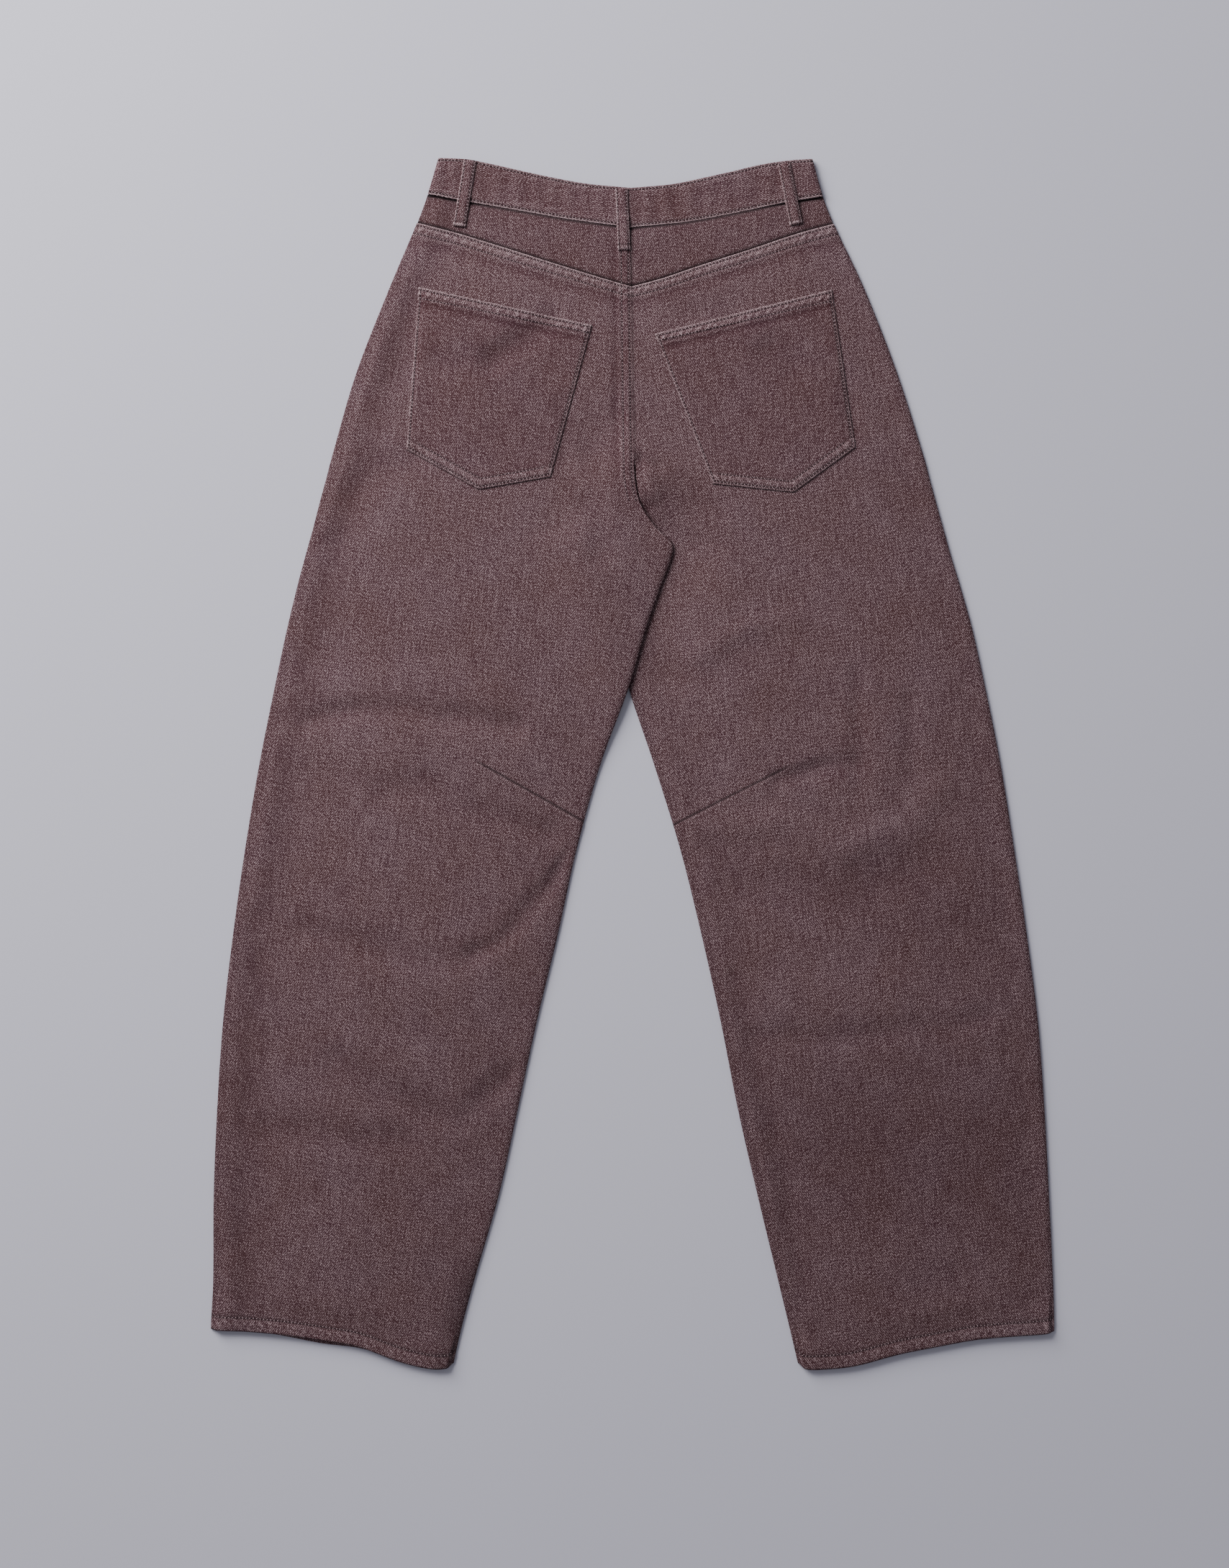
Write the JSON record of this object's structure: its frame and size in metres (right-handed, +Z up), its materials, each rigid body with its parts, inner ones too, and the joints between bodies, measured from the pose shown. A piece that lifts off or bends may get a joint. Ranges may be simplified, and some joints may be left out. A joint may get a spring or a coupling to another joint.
{
  "type": "barrel leg trousers laid flat",
  "caption": "High-waisted denim trousers with wide barrel legs, laid flat with the back up: pointed yoke, patch pockets, waistband with belt loops, darts at the knees and plain hems.",
  "frame": {"origin": "on the surface the trousers lie on, under the centre of their bounding box", "axes": "+X across the garment towards its right leg as it lies back up, +Y from the hems to the waist, +Z up through the layers"},
  "size_m": [0.726, 1.0423, 0.0094],
  "materials": {
    "denim": "dark brown-plum cotton twill with a paler weft, matt",
    "zip": "woven tape with fine teeth",
    "metal": "dark, satin"
  },
  "bodies": {
    "root": {"back_left": "denim", "back_right": "denim", "yoke_left": "denim", "yoke_right": "denim", "waistband_back": "denim", "waistband_front_left": "denim", "waistband_front_right": "denim", "loop_left": "denim", "loop_centre": "denim", "loop_right": "denim", "pocket_left": "denim", "pocket_right": "denim", "front_left": "denim", "front_right": "denim", "hem_back_left": "denim", "hem_back_right": "denim", "hem_front_left": "denim", "hem_front_right": "denim", "fly_shield": "denim", "zip": "zip", "waist_button": "metal"}
  },
  "joints": []
}
